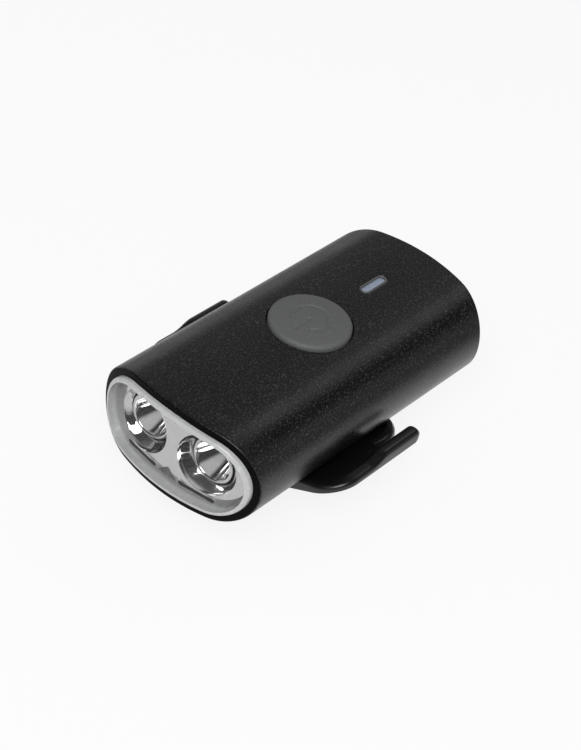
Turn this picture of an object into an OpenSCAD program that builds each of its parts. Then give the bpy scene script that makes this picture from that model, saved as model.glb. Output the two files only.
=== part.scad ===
// Handlebar bike headlight: oval aluminium tube body, twin-bowl front, top button,
// rear charging port and an underside saddle with two strap hooks.
// Millimetres. X is the width, the beam leaves along -Y, Z is up.
// Z 0 is the underside of the saddle, Y 0 is mid-length.

/* [Body] */
// Width of the body tube
body_w = 44; // [40:1:52]
// Height of the body tube
body_h = 24; // [23:0.5:28]
// Length of the body tube on its centre line
body_l = 84; // [78:1:100]
// Height of the flatter top above the radius of the round sides
crown = 0.25; // [0.15:0.05:0.3]
// Radius of the flatter top and bottom
crown_r = 112; // [90:1:130]
// Radius of the bowed front and rear ends, seen from above
end_bow_r = 57; // [50:1:90]
// Wall of the body tube
wall = 1.8; // [1.4:0.1:2.2]

/* [Front] */
// How far the lens stands out of the tube
lens_proud = 1; // [0.4:0.1:1.5]
// Thickness of the lens window
lens_t = 2; // [1.6:0.1:3]
// Thickness of the lens skirt
skirt_t = 1.2; // [0.9:0.1:1.6]
// Length of the skirt behind the ends of the bow
skirt_len = 1.2; // [0.8:0.1:3]
// Thickness of the lens seal
lens_seal_t = 1.2; // [0.8:0.1:2]
// Mouth radius of each reflector bowl
bowl_r = 7; // [6:0.1:7.2]
// Throat radius of each bowl round its emitter
throat_r = 2.7; // [2.5:0.1:3.2]
// Thickness of the reflector's front plate
reflector_t = 1; // [0.8:0.1:1.4]
// Wall of the reflector bowls
bowl_wall = 0.8; // [0.6:0.1:0.9]
// Margin from each bowl to the reflector's side
bowl_margin = 2; // [1:0.1:2.2]
// Height of the bowl axes above the body centre
bowl_z = 0.6; // [0.3:0.1:0.7]
// Length of the slot below each bowl
slot_l = 8.6; // [6:0.2:9]
// Height of the slot below each bowl
slot_h = 1.4; // [1:0.1:1.5]
// Thickness of the emitter board
led_board_t = 1.6; // [1:0.1:2]
// Side of the square emitter package
led_side = 3.5; // [3:0.1:3.6]
// Height of the emitter package
led_h = 0.8; // [0.5:0.1:1]
// Radius of the emitter dome
led_dome_r = 1.4; // [1:0.1:1.6]
// Thickness of the heat spreader
spreader_t = 4; // [3:0.5:6]

/* [Top] */
// Diameter of the push button
button_d = 18.6; // [14:0.2:20]
// Place of the button along the body
button_y = 0.8; // [-4:0.2:4]
// Height of the button's edge above the tube
button_proud = 0.9; // [0.6:0.1:1.5]
// Rise of the button's dome
button_dome = 0.5; // [0.3:0.1:1]
// Travel of the button
button_travel = 0.5; // [0.3:0.1:0.8]
// Gap round the button
button_gap = 0.3; // [0.2:0.05:0.5]
// Width of the flange that keeps the button in
flange_w = 1.6; // [1.2:0.1:2]
// Thickness of that flange
flange_t = 0.8; // [0.6:0.1:1]
// Length of the indicator window
window_l = 8.5; // [6:0.5:10]
// Width of the indicator window
window_w = 2.9; // [2:0.1:3.6]
// Place of the indicator window along the body
window_y = 22.9; // [21:0.1:25]
// Depth of the window below the tube's top
window_sunk = 0.25; // [0.1:0.05:0.5]

/* [Inside] */
// Height of the push switch on the board
switch_h = 1.6; // [1.2:0.1:2]
// Thickness of the control board
board_t = 1.2; // [0.8:0.1:1.6]
// Room under the control board
board_room = 1.5; // [1:0.1:2]
// Thickness of the battery cell
cell_h = 9.4; // [7:0.2:9.8]
// Thickness of the foam pad under the cell
cell_pad_t = 0.6; // [0.4:0.1:1]
// Room for the cell's tabs
tab_room = 4; // [3:0.5:6]
// Side wall of the inner tray
tray_wall = 1; // [0.8:0.1:1.4]
// End wall of the inner tray
bulkhead_t = 4.4; // [4:0.1:6]

/* [Rear] */
// Depth of the rear cap inside the tube
cap_depth = 5; // [4.6:0.1:7]
// How far the rear cap sits inside the tube's end
cap_sunk = 0.5; // [0.3:0.1:1]
// Width of the port recess
port_w = 13; // [12.6:0.2:15]
// Height of the port recess
port_h = 7.4; // [7:0.2:8]
// Thickness of the port cover
cover_t = 1.4; // [1.2:0.1:1.8]
// Border of the cover round the recess
cover_border = 1.4; // [1:0.1:1.8]

/* [Saddle] */
// Radius of the handlebar
bar_r = 12.7; // [11.1:0.1:15.9]
// Thickness of the rubber saddle pad
pad_t = 1.3; // [1:0.1:2]
// Depth of the saddle's legs round the bar
leg_depth = 8.2; // [7.6:0.1:9]
// Foot thickness of each leg
leg_t = 2.5; // [2:0.1:4]
// Thickness of the saddle over the bar
saddle_crown = 1.6; // [1.4:0.1:3]
// Width of the saddle
saddle_w = 20; // [16:0.5:22]
// Distance of the bracket screws from the middle
bracket_screw_y = 9; // [8.5:0.1:10]

/* [Hooks] */
// Distance of the hooks' outer faces from the middle
hook_x = 29.05; // [28:0.05:33]
// Thickness of the wings
wing_t = 3.3; // [2.5:0.1:4]
// Height of the hook bar
hook_h = 3.5; // [3:0.1:4.5]
// Thickness of the hook bar
hook_w = 3.1; // [2.6:0.1:3.6]
// Height of the hook bar's top below the body centre
hook_top = 2.7; // [2:0.1:4]
// Front edge of the wings
wing_front = 19.7; // [18:0.1:22]
// Corner radius of the wings' front edge
wing_corner = 6.6; // [4:0.1:8]
// Place of the hook's notch
notch_y = 0.5; // [-1:0.1:2]
// Tip of the hook
hook_tip = 8.5; // [7:0.1:12]

/* [Hidden] */
$fn = 96;

// Clearances
seat = 0.05;
fit = 0.1;
loose = 0.2;
screw_gap = 0.02;
big = 300;

// Screw sizes
m2_r = 0.95;
m2_head_r = 1.8;
m2_head_h = 1.2;
m25_r = 1.2;
m25_head_r = 2.2;
m25_head_h = 1.3;
hex_r = 0.8;
hex_depth = 0.7;
led_screw_z = 5;
board_screw_in = 5;
board_screw_grip = 4.6;
case_screw_in = 1.6;
case_screw_z = -3;
case_screw_grip = 6;
cap_web = 2;
screw_end = 0.3;

// Small pieces inside
flange_extra = 0.4;
lens_gap = 0.3;
slot_gap = 0.3;
slot_shift = 0.8;
board_gap = 0.6;
board_end = 0.4;
led_board_gap = 0.5;
lead_r = 0.6;
lead_gap = 0.4;
lead_x = 4;
lead_run = 3;
tab_w = 3;
tab_l = 2;
tab_t = 0.3;
tab_drop = 3;
tab_in = 6.5;
chip_w = 5;
chip_h = 1;
coil_w = 6;
coil_h = 2;
coil_corner = 1;
chip_in = 7.5;
chip_gap = 4.5;
switch_w = 6.2;
plunger_r = 1.7;
plunger_sunk = 0.4;
plunger_well = 0.8;
retainer_w = 3;
retainer_edge = 0.3;
lamp_w = 1.6;
lamp_l = 0.8;
lamp_h = 0.6;

// Body section: round sides of side_r, cut by flatter arcs of crown_r
half_h = body_h / 2;
side_r = half_h - crown;
side_a = body_w / 2 - side_r;
front_y = -body_l / 2;
rear_y = body_l / 2;
bow_drop = end_bow_r - sqrt(end_bow_r * end_bow_r - body_w * body_w / 4);
top_in = half_h - wall;

function half_at(inset, z) = side_a + sqrt(pow(side_r - inset, 2) - z * z);
function drop_at(inset, x) = crown_r - inset - sqrt(pow(crown_r - inset, 2) - x * x);
function arc_pts(cx, cy, r, a0, a1, n) =
    [for (i = [0:n]) [cx + r * cos(a0 + (a1 - a0) * i / n), cy + r * sin(a0 + (a1 - a0) * i / n)]];
function pill_pts(l, w) = concat(
    arc_pts(0, (l - w) / 2, w / 2, 0, 180, 14),
    arc_pts(0, -(l - w) / 2, w / 2, 180, 360, 14));
function round_pts(w, h, r) = concat(
    arc_pts(w / 2 - r, h / 2 - r, r, 0, 90, 5),
    arc_pts(-w / 2 + r, h / 2 - r, r, 90, 180, 5),
    arc_pts(-w / 2 + r, -h / 2 + r, r, 180, 270, 5),
    arc_pts(w / 2 - r, -h / 2 + r, r, 270, 360, 5));

// Stack from the front, along Y
lens_inset = wall + fit;
skirt_back = front_y + bow_drop + skirt_len;
seal_front = skirt_back + seat;
seal_back = seal_front + lens_seal_t;
flange_front = seal_back + seat;
flange_back = flange_front + reflector_t + flange_extra;
led_clear = 2.4;
led_y = flange_back + led_clear;
window_back = lens_t - lens_proud;
plate_inset = window_back + lens_gap;
spreader_front = led_y + led_board_t + seat;
spreader_back = spreader_front + spreader_t;
tray_front = spreader_back + fit;
refl_inset = lens_inset + skirt_t + loose;
led_x = half_at(refl_inset + reflector_t, 0) - bowl_margin - bowl_r;
bowl_len = led_y - fit - (front_y + plate_inset);
slot_z = bowl_z - bowl_r - slot_h / 2 - slot_gap;
slot_x = led_x - slot_shift;

// Stack from the rear, along Y
cap_front = rear_y - cap_sunk - cap_depth;
tray_back = cap_front - fit;
bulk_front_y = tray_front + bulkhead_t / 2;
bulk_rear_y = tray_back - bulkhead_t / 2;

// Charging port, mouth at the floor of the rear cap's recess
usb_w = 8.94;
usb_h = 3.26;
usb_l = 7.3;
usb_wall = 0.3;
usb_round = 1.2;
usb_back = 0.8;
tongue_w = 6.69;
tongue_t = 0.7;
tongue_short = 1.4;
port_depth = 2.9;
port_floor = rear_y - cap_sunk - port_depth;

// Stack from the top, along Z
button_r = button_d / 2;
hole_r = button_r + button_gap;
flange_r = hole_r + flange_w - button_gap;
flange_top = top_in - drop_at(wall, flange_r) - fit;
under_z = flange_top - flange_t;
switch_top = under_z - button_travel - 0.2;
board_top = switch_top - switch_h;
board_bot = board_top - board_t;
cell_top = board_bot - board_room;
cell_bot = cell_top - cell_h;
floor_top = cell_bot - cell_pad_t - 2 * seat;
tray_inset = wall + loose;
pocket_half = half_at(tray_inset + tray_wall, floor_top);
board_half = half_at(wall + board_gap, board_top);
cell_half = pocket_half - loose;
cell_front = tray_front + bulkhead_t + tab_room;
cell_back = min(tray_back - bulkhead_t, port_floor - usb_l) - loose;
board_front = tray_front + board_gap;
board_back = cap_front - board_end;

// Charging port
port_z = board_bot - seat - usb_h / 2;
hinge_y = rear_y - cap_sunk + fit + cover_t / 2;
hinge_drop = 0.4;
hinge_z = port_z - port_h / 2 - hinge_drop;
cover_half = port_w / 2 + cover_border;
cover_top_in = 0.3;
cover_top = port_z + port_h / 2 + cover_border - cover_top_in;
plug_gap = 0.2;
plug_r = norm([hinge_y - (rear_y - cap_sunk), port_z + port_h / 2 - hinge_z]) - plug_gap;

// Saddle, from the tube's underside down
cradle_gap = 0.15;
cradle_z = -half_h - cradle_gap;
bar_z = cradle_z - saddle_crown - seat - pad_t - bar_r;
arc_r = bar_r + pad_t + seat;
foot_z = bar_z + bar_r - leg_depth;
foot_y = sqrt(arc_r * arc_r - pow(foot_z - bar_z, 2)) + leg_t;
body_z = -foot_z;
clamp_t = 1.2;
bracket_head_z = cradle_z - clamp_t;
bracket_screw_top = floor_top - 0.8;
bracket_screw_l = bracket_screw_top - bracket_head_z;

// Hooks, rising from the saddle plate at wing_slope
wing_slope = 0.5;
hook_bot = -hook_top - hook_h;
plate_bot = cradle_z - 2.55;
wing_root = hook_x - (hook_bot - plate_bot) / wing_slope;
rear_round = 9.8;
rear_round_x = hook_x - hook_w - 2.75 - 9.2;
rear_round_y = 4;
ramp_front = -wing_front + wing_corner - 2;

module at_body() {
    translate([0, 0, body_z])
        children();
}

module along_y(y0, y1) {
    translate([0, y1, 0])
        rotate([90, 0, 0])
            linear_extrude(height = y1 - y0)
                children();
}

// Body section, drawn inward by inset
module oval(inset) {
    intersection() {
        union() {
            square([2 * side_a, 2 * (half_h - inset)], center = true);
            for (s = [-1, 1])
                translate([s * side_a, 0])
                    circle(side_r - inset);
        }
        translate([0, half_h - crown_r])
            circle(crown_r - inset, $fn = 720);
        translate([0, crown_r - half_h])
            circle(crown_r - inset, $fn = 720);
    }
}

// Space behind the bowed front, drawn inward by inset
module front_bow(inset) {
    translate([0, front_y + end_bow_r, -big / 2])
        cylinder(r = end_bow_r - inset, h = big, $fn = 180);
}

module rear_bow(inset) {
    translate([0, rear_y - end_bow_r, -big / 2])
        cylinder(r = end_bow_r - inset, h = big, $fn = 180);
}

// Screw along +Z with its head below z 0
module screw(r, head_r, head_h, l) {
    difference() {
        union() {
            translate([0, 0, -head_h])
                cylinder(r = head_r, h = head_h, $fn = 48);
            cylinder(r = r, h = l, $fn = 48);
        }
        translate([0, 0, -head_h - 1])
            cylinder(r = hex_r, h = hex_depth + 1, $fn = 6);
    }
}

module bracket_screw_places() {
    for (s = [-1, 1])
        translate([0, s * bracket_screw_y, bracket_head_z])
            children();
}

module board_screw_places() {
    for (s = [-1, 1])
        for (y = [bulk_front_y, bulk_rear_y])
            translate([s * (pocket_half - board_screw_in), y, board_top + seat])
                rotate([180, 0, 0])
                    children();
}

module rear_screw_places() {
    for (s = [-1, 1])
        translate([s * (pocket_half - case_screw_in), rear_screw_y, case_screw_z])
            rotate([90, 0, 0])
                children();
}
rear_screw_y = cap_front + cap_web;

module spreader_screw_places() {
    for (s = [-1, 1])
        translate([s * (pocket_half - case_screw_in), spreader_front + m25_head_h + fit, case_screw_z])
            rotate([-90, 0, 0])
                children();
}

module led_screw_places() {
    for (s = [-1, 1])
        translate([0, led_y - seat, s * led_screw_z])
            rotate([-90, 0, 0])
                children();
}

module body_shell() {
    color("#1b1b1d")
        at_body()
            difference() {
                intersection() {
                    along_y(front_y - 1, rear_y + 1)
                        difference() {
                            oval(0);
                            oval(wall);
                        }
                    front_bow(0);
                    rear_bow(0);
                }
                translate([0, button_y, 0])
                    cylinder(r = hole_r, h = big);
                translate([0, window_y, 0])
                    linear_extrude(height = big)
                        polygon(pill_pts(window_l + 2 * fit, window_w + 2 * fit));
                bracket_screw_places()
                    cylinder(r = m25_r + loose, h = half_h);
            }
}

module front_lens() {
    color([0.85, 0.88, 0.9, 0.4])
        at_body()
            difference() {
                intersection() {
                    along_y(front_y - lens_proud - 1, skirt_back)
                        oval(lens_inset);
                    front_bow(-lens_proud);
                }
                intersection() {
                    along_y(front_y - lens_proud - 1, skirt_back + 1)
                        oval(lens_inset + skirt_t);
                    front_bow(window_back);
                }
            }
}

module lens_seal() {
    color("#303033")
        at_body()
            along_y(seal_front, seal_back)
                difference() {
                    oval(lens_inset);
                    oval(lens_inset + skirt_t);
                }
}

// Bowl radius at the share t of its depth, with one ring step part way up
function bowl_at(t, grow) =
    sqrt(throat_r * throat_r + (bowl_r * bowl_r - throat_r * throat_r) * t) + grow;
function bowl_pts(grow, extra) = concat(
    [[0, 0], [throat_r + grow, 0]],
    [for (t = [0.1, 0.2, 0.3, 0.4]) [bowl_at(t, grow), t * bowl_len]],
    [[bowl_at(0.4, grow) + 0.4, 0.4 * bowl_len]],
    [for (t = [0.55, 0.7, 0.85, 1]) [bowl_at(t, grow), t * bowl_len]],
    [[bowl_r + grow, bowl_len + extra], [0, bowl_len + extra]]);

module bowls(grow, extra) {
    for (s = [-1, 1])
        translate([s * led_x, led_y - fit, bowl_z])
            rotate([90, 0, 0])
                rotate_extrude()
                    polygon(bowl_pts(grow, extra));
}

// Bowed front plate, two bowls through it, and a rear flange that the seal presses on
module reflector() {
    color("#d9dde0")
        at_body()
            difference() {
                union() {
                    intersection() {
                        union() {
                            bowls(bowl_wall, lens_t);
                            difference() {
                                along_y(front_y, skirt_back)
                                    oval(refl_inset);
                                front_bow(plate_inset + reflector_t);
                            }
                        }
                        front_bow(plate_inset);
                    }
                    along_y(flange_front, flange_back)
                        oval(lens_inset);
                }
                bowls(0, big);
                translate([0, led_y, bowl_z])
                    for (s = [-1, 1])
                        translate([s * led_x, 0, 0])
                            rotate([90, 0, 0])
                                cylinder(r = throat_r, h = 2, center = true);
                for (s = [-1, 1])
                    translate([s * slot_x, 0, slot_z])
                        along_y(front_y - 1, flange_front - 1)
                            rotate(90)
                                polygon(pill_pts(slot_l, slot_h));
            }
}

module led_board() {
    color("#e8e8e2")
        at_body()
            difference() {
                along_y(led_y, led_y + led_board_t)
                    oval(lens_inset + led_board_gap);
                led_screw_places()
                    cylinder(r = m2_r + fit, h = 2 * led_board_t);
            }
}

module led_packages() {
    color("#f0d060")
        at_body()
            for (s = [-1, 1])
                translate([s * led_x, led_y - seat - led_h / 2, bowl_z])
                    cube([led_side, led_h, led_side], center = true);
}

module led_domes() {
    color([0.9, 0.9, 0.8, 0.5])
        at_body()
            for (s = [-1, 1])
                translate([s * led_x, led_y - 2 * seat - led_h, bowl_z])
                    rotate([90, 0, 0])
                        intersection() {
                            sphere(r = led_dome_r);
                            translate([0, 0, led_dome_r])
                                cube(2 * led_dome_r, center = true);
                        }
}

module led_board_screws() {
    color("#b8bcc0")
        at_body()
            led_screw_places()
                screw(m2_r, m2_head_r, m2_head_h, led_board_t + spreader_t - 1);
}

module lead_places() {
    for (s = [-1, 1])
        translate([s * lead_x, 0, board_bot - seat - lead_r])
            children();
}
lead_back = tray_front + bulkhead_t + lead_run;

module heat_spreader() {
    color("#a9adb2")
        at_body()
            difference() {
                along_y(spreader_front, spreader_back)
                    oval(wall + seat);
                led_screw_places()
                    cylinder(r = m2_r + screw_gap, h = led_board_t + spreader_t - 0.5);
                spreader_screw_places() {
                    translate([0, 0, -m25_head_h - 2])
                        cylinder(r = m25_head_r + loose, h = m25_head_h + 2);
                    cylinder(r = m25_r + fit, h = spreader_t + 2);
                }
                lead_places()
                    along_y(spreader_front - 1, spreader_back + 1)
                        circle(lead_r + lead_gap);
            }
}

module spreader_screws() {
    color("#b8bcc0")
        at_body()
            spreader_screw_places()
                screw(m25_r, m25_head_r, m25_head_h, spreader_t + 1.6);
}

module led_leads() {
    color("#a02020")
        at_body()
            lead_places()
                along_y(spreader_front - seat / 2, lead_back)
                    circle(lead_r);
}

module chassis() {
    color("#26282b")
        at_body()
            difference() {
                along_y(tray_front, tray_back)
                    intersection() {
                        oval(tray_inset);
                        translate([-big / 2, -big])
                            square([big, big + board_bot - seat]);
                    }
                translate([-pocket_half, tray_front + bulkhead_t, floor_top])
                    cube([2 * pocket_half, tray_back - tray_front - 2 * bulkhead_t, big]);
                lead_places()
                    along_y(tray_front - 1, lead_back)
                        circle(lead_r + lead_gap);
                lead_places()
                    translate([-lead_r - lead_gap, tray_front - 1, 0])
                        cube([2 * (lead_r + lead_gap), bulkhead_t + 2, big]);
                translate([-usb_w / 2 - 0.5, tray_back - bulkhead_t - 1, port_z - usb_h / 2 - 0.5])
                    cube([usb_w + 1, bulkhead_t + 2, big]);
                bracket_screw_places()
                    cylinder(r = m25_r + screw_gap, h = bracket_screw_l + 0.3);
                board_screw_places()
                    cylinder(r = m2_r + screw_gap, h = board_t + board_screw_grip + screw_end);
                rear_screw_places()
                    cylinder(r = m25_r + screw_gap, h = case_screw_grip + screw_end);
                spreader_screw_places()
                    cylinder(r = m25_r + screw_gap, h = spreader_t + 2);
                for (s = [-1, 1])
                    translate([s * 8 - 3, tray_front + bulkhead_t, -half_h])
                        cube([6, tray_back - tray_front - 2 * bulkhead_t, half_h - 8.2]);
            }
}

module battery_cell() {
    color("#5b6f8c")
        at_body()
            along_y(cell_front, cell_back)
                translate([0, (cell_top + cell_bot) / 2])
                    polygon(round_pts(2 * cell_half, cell_h, 1.6));
}

module cell_pad() {
    color("#44474a")
        at_body()
            translate([-cell_half + 1, cell_front + 2, floor_top + seat])
                cube([2 * cell_half - 2, cell_back - cell_front - 4, cell_pad_t]);
}

// Two bent strips from the cell's end up to the control board
module cell_tabs() {
    tab_z = cell_top - tab_drop;
    tab_x = cell_half - tab_in;
    color("#c9cbc4")
        at_body()
            for (s = [-1, 1])
                translate([s * tab_x - tab_w / 2, cell_front - seat - tab_l, 0]) {
                    translate([0, 0, tab_z])
                        cube([tab_w, tab_l, tab_t]);
                    translate([0, 0, tab_z])
                        cube([tab_w, tab_t, board_bot - seat - tab_z]);
                }
}

module control_board() {
    color("#1f6a3c")
        at_body()
            difference() {
                translate([-board_half, board_front, board_bot])
                    cube([2 * board_half, board_back - board_front, board_t]);
                board_screw_places()
                    cylinder(r = m2_r + fit, h = 2 * board_t);
            }
}

module board_screws() {
    color("#b8bcc0")
        at_body()
            board_screw_places()
                screw(m2_r, m2_head_r, m2_head_h, board_t + board_screw_grip);
}

retainer_r = flange_r + retainer_edge;
chip_y = button_y + retainer_r + chip_gap;
chip_x = board_half - chip_in;

module driver_chip() {
    color("#15161a")
        at_body()
            translate([chip_x, chip_y, board_top + seat + chip_h / 2])
                cube([chip_w, chip_w, chip_h], center = true);
}

module inductor() {
    color("#3a3b40")
        at_body()
            translate([-chip_x, chip_y, board_top + seat])
                linear_extrude(height = coil_h)
                    polygon(round_pts(coil_w, coil_w, coil_corner));
}

module switch_body() {
    color("#2a2a2e")
        at_body()
            translate([0, button_y, board_top + seat])
                difference() {
                    translate([-switch_w / 2, -switch_w / 2, 0])
                        cube([switch_w, switch_w, switch_h - seat]);
                    translate([0, 0, switch_h - button_travel - plunger_well])
                        cylinder(r = plunger_r + fit, h = big);
                }
}

module switch_plunger() {
    color("#d8d2c4")
        at_body()
            translate([0, button_y, switch_top - plunger_sunk])
                cylinder(r = plunger_r, h = under_z - seat / 2 - switch_top + plunger_sunk);
}

module indicator_led() {
    color("#9fc4ff")
        at_body()
            translate([-lamp_w / 2, window_y - lamp_l / 2, board_top + seat])
                cube([lamp_w, lamp_l, lamp_h]);
}

module indicator_window() {
    lip = 1;
    lip_top = top_in - drop_at(wall, window_w / 2 + lip) - seat;
    foot = board_top + 1.2;
    color("#b9c6dd")
        at_body()
            translate([0, window_y, 0]) {
                translate([0, 0, foot])
                    linear_extrude(height = half_h - window_sunk - foot)
                        polygon(pill_pts(window_l, window_w));
                translate([0, 0, lip_top - 0.8])
                    linear_extrude(height = 0.8)
                        polygon(pill_pts(window_l + 2 * lip, window_w + 2 * lip));
            }
}

// Button outline: flange, straight side, rounded edge and low dome
module button_cap() {
    edge_r = 0.7;
    edge_z = half_h + button_proud;
    dome_r = button_r - edge_r;
    mark_r = 4.2;
    mark_w = 0.9;
    color("#4a4a4d")
        at_body()
            translate([0, button_y, 0])
                difference() {
                    rotate_extrude()
                        polygon(concat(
                            [[0, under_z], [flange_r, under_z], [flange_r, flange_top],
                             [button_r, flange_top]],
                            arc_pts(dome_r, edge_z - edge_r, edge_r, 0, 90, 5),
                            [for (t = [0.85, 0.7, 0.55, 0.4, 0.2, 0])
                                [dome_r * t, edge_z + button_dome * (1 - t * t)]]));
                    translate([0, 0, edge_z + button_dome * 0.55 - 0.2])
                        linear_extrude(height = 5) {
                            difference() {
                                circle(mark_r + mark_w / 2);
                                circle(mark_r - mark_w / 2);
                                polygon([[0, 0], [-6, -7], [6, -7]]);
                            }
                            translate([-mark_w / 2, -mark_r - 0.8])
                                square([mark_w, mark_r]);
                        }
                }
}

module button_retainer() {
    color("#2f3033")
        at_body()
            translate([0, button_y, board_top + seat])
                difference() {
                    cylinder(r = retainer_r, h = switch_h - seat);
                    translate([0, 0, -1])
                        cylinder(r = retainer_r - retainer_w, h = switch_h + 2);
                }
}

module usb_shell() {
    color("#c3c7cb")
        at_body()
            translate([0, 0, port_z])
                difference() {
                    along_y(port_floor - usb_l, port_floor)
                        polygon(round_pts(usb_w, usb_h, usb_round));
                    along_y(port_floor - usb_l + usb_back, port_floor + 1)
                        polygon(round_pts(usb_w - 2 * usb_wall, usb_h - 2 * usb_wall, usb_round - usb_wall));
                }
}

module usb_tongue() {
    color("#1d1d20")
        at_body()
            translate([-tongue_w / 2, port_floor - usb_l + usb_back + seat, port_z - tongue_t / 2])
                cube([tongue_w, usb_l - tongue_short, tongue_t]);
}

seal_y = cap_front + 1;
seal_w = 1.4;
seal_d = 0.9;

module rear_cap() {
    color("#202124")
        at_body()
            difference() {
                intersection() {
                    along_y(cap_front, rear_y + 1)
                        oval(lens_inset);
                    rear_bow(cap_sunk);
                }
                along_y(seal_y, seal_y + seal_w)
                    difference() {
                        oval(0);
                        oval(lens_inset + seal_d);
                    }
                translate([0, 0, port_z])
                    along_y(cap_front - 1, rear_y)
                        polygon(round_pts(usb_w + 2 * loose, usb_h + 2 * loose, usb_round + loose));
                translate([-port_w / 2, port_floor, port_z - port_h / 2])
                    cube([port_w, big, port_h]);
                translate([-root_w / 2 - seat, root_y - seat, root_z - seat])
                    cube([root_w + 2 * seat, big, root_h + 2 * seat]);
                rear_screw_places() {
                    translate([0, 0, -big])
                        cylinder(r = m25_head_r + loose, h = big);
                    translate([0, 0, -1])
                        cylinder(r = m25_r + fit, h = big);
                }
            }
}

module rear_seal() {
    color("#34353a")
        at_body()
            along_y(seal_y + fit, seal_y + seal_w - fit)
                difference() {
                    oval(wall + seat);
                    oval(lens_inset + seal_d - seat);
                }
}

module rear_screws() {
    color("#b8bcc0")
        at_body()
            rear_screw_places()
                screw(m25_r, m25_head_r, m25_head_h, case_screw_grip);
}

root_w = 10;
root_h = 2.2;
root_sunk = 1.6;
root_drop = 0.6;
root_lip = 0.3;
root_y = rear_y - cap_sunk - root_sunk;
root_z = hinge_z - root_drop - root_h;
root_out = rear_y - cap_sunk - root_lip;

module cover_root() {
    color("#3a3b3e")
        at_body()
            translate([-root_w / 2, root_y, root_z])
                cube([root_w, root_out - root_y, root_h]);
}

// Rubber cover: a lid with a round lower edge on the hinge line, and a plug behind it
module port_cover() {
    inner_y = hinge_y - cover_t / 2;
    color("#3a3b3e")
        at_body() {
            translate([-cover_half, inner_y, hinge_z])
                cube([2 * cover_half, cover_t, cover_top - hinge_z]);
            translate([-cover_half, hinge_y, hinge_z])
                rotate([0, 90, 0])
                    cylinder(r = cover_t / 2, h = 2 * cover_half, $fn = 48);
            intersection() {
                translate([-port_w / 2 + plug_gap, port_floor + plug_gap, port_z - port_h / 2 + plug_gap])
                    cube([port_w - 2 * plug_gap, inner_y + 0.2 - port_floor, port_h]);
                translate([-big / 2, hinge_y, hinge_z])
                    rotate([0, 90, 0])
                        cylinder(r = plug_r, h = big);
            }
        }
}

function wing_plan_pts() = concat(
    [[-1, -wing_front]],
    arc_pts(hook_x - wing_corner, -wing_front + wing_corner, wing_corner, -90, 0, 9),
    [[hook_x, notch_y], [rear_round_x + rear_round * cos(-20), notch_y]],
    arc_pts(rear_round_x, rear_round_y, rear_round, -12, 90, 12),
    [[-1, rear_round_y + rear_round]]);

// Bar of one hook seen from above, with the wing's corner and a round tip
function hook_plan_pts() = concat(
    [[-1, -wing_front]],
    arc_pts(hook_x - wing_corner, -wing_front + wing_corner, wing_corner, -90, 0, 9),
    arc_pts(hook_x - hook_w / 2, hook_tip - hook_w / 2, hook_w / 2, 0, 180, 10),
    [[hook_x - hook_w, notch_y - hook_w], [-1, notch_y - hook_w]]);

// Bar of one hook seen from the side: an easy ramp up to the bar, and a round tip
function ease(t) = t * t * (3 - 2 * t);
function hook_side_pts() = concat(
    [for (t = [0:0.125:1])
        [ramp_front + (notch_y - ramp_front) * t, hook_bot + 0.2 + (hook_h - 0.2) * ease(t)]],
    arc_pts(hook_tip - hook_h / 2, -hook_top - hook_h / 2, hook_h / 2, 90, -90, 10),
    [[ramp_front, hook_bot]]);

module wing() {
    intersection() {
        along_y(-wing_front - 1, rear_round_y + rear_round + 1)
            polygon([[-1, plate_bot], [wing_root, plate_bot], [hook_x, hook_bot],
                [hook_x, hook_bot + wing_t], [wing_root, plate_bot + wing_t], [-1, plate_bot + wing_t]]);
        translate([0, 0, -big / 2])
            linear_extrude(height = big)
                polygon(wing_plan_pts());
    }
    intersection() {
        translate([hook_x - hook_w, 0, 0])
            rotate([90, 0, 90])
                linear_extrude(height = hook_w + 1)
                    polygon(hook_side_pts());
        translate([0, 0, -big / 2])
            linear_extrude(height = big)
                polygon(hook_plan_pts());
    }
}

module mount_bracket() {
    color("#161618")
        at_body()
            difference() {
                union() {
                    wing();
                    mirror([1, 0, 0])
                        wing();
                    translate([-saddle_w / 2, -foot_y, foot_z])
                        cube([saddle_w, 2 * foot_y, -foot_z - side_r]);
                }
                along_y(-big / 2, big / 2)
                    oval(-cradle_gap);
                translate([-big / 2, 0, bar_z])
                    rotate([0, 90, 0])
                        cylinder(r = arc_r, h = big, $fn = 180);
                bracket_screw_places() {
                    translate([0, 0, -big])
                        cylinder(r = m25_head_r + loose, h = big);
                    cylinder(r = m25_r + loose, h = big);
                }
            }
}

module saddle_pad() {
    pad_w = saddle_w - 1;
    color("#303134")
        at_body()
            intersection() {
                translate([-pad_w / 2, 0, bar_z])
                    rotate([0, 90, 0])
                        difference() {
                            cylinder(r = bar_r + pad_t, h = pad_w, $fn = 180);
                            translate([0, 0, -1])
                                cylinder(r = bar_r, h = pad_w + 2, $fn = 180);
                        }
                translate([-big / 2, -big / 2, foot_z + loose])
                    cube([big, big, big]);
            }
}

module bracket_screws() {
    color("#b8bcc0")
        at_body()
            bracket_screw_places()
                screw(m25_r, m25_head_r, m25_head_h, bracket_screw_l);
}

body_shell();
front_lens();
lens_seal();
reflector();
led_board();
led_packages();
led_domes();
led_board_screws();
heat_spreader();
spreader_screws();
led_leads();
chassis();
battery_cell();
cell_pad();
cell_tabs();
control_board();
board_screws();
driver_chip();
inductor();
switch_body();
switch_plunger();
indicator_led();
indicator_window();
button_cap();
button_retainer();
usb_shell();
usb_tongue();
rear_cap();
rear_seal();
rear_screws();
cover_root();
port_cover();
mount_bracket();
saddle_pad();
bracket_screws();
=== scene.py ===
"""Looks of the handlebar bike headlight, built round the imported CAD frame.

Shapes are worked out in millimetres from the body's centre, X across, -Y along the beam, Z up,
and put into the row frame in metres by to_row().
"""

import bmesh
import bpy
import numpy as np
from mathutils import Matrix

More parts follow.
